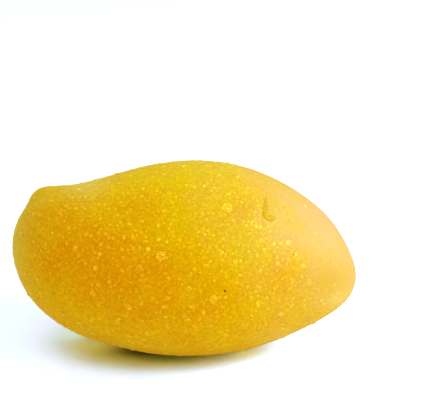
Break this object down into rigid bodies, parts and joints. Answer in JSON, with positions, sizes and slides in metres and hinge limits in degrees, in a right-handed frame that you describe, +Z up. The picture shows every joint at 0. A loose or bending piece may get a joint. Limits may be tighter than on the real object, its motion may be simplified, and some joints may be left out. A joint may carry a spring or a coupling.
{
  "type": "mango",
  "caption": "Whole ripe yellow mango, slim oval with a small beak near the tip, lying nearly on its back edge on a small flat spot, with a dry stalk stub in the hollow at the stem end",
  "frame": {"origin": "under the middle of the bounding box, on the surface that the fruit rests on", "axes": "+X along the fruit towards the stem end, +Y away from the cheek that faces outward, +Z up; the belly edge is on top and leans 18 degrees towards +Y"},
  "size_m": [0.1216, 0.0654, 0.068],
  "materials": {
    "skin": "waxy yellow fruit skin, semi-gloss",
    "stalk": "dry, dark and matt"
  },
  "bodies": {
    "root": {"fruit": "skin", "stem_stub": "stalk"}
  },
  "joints": []
}
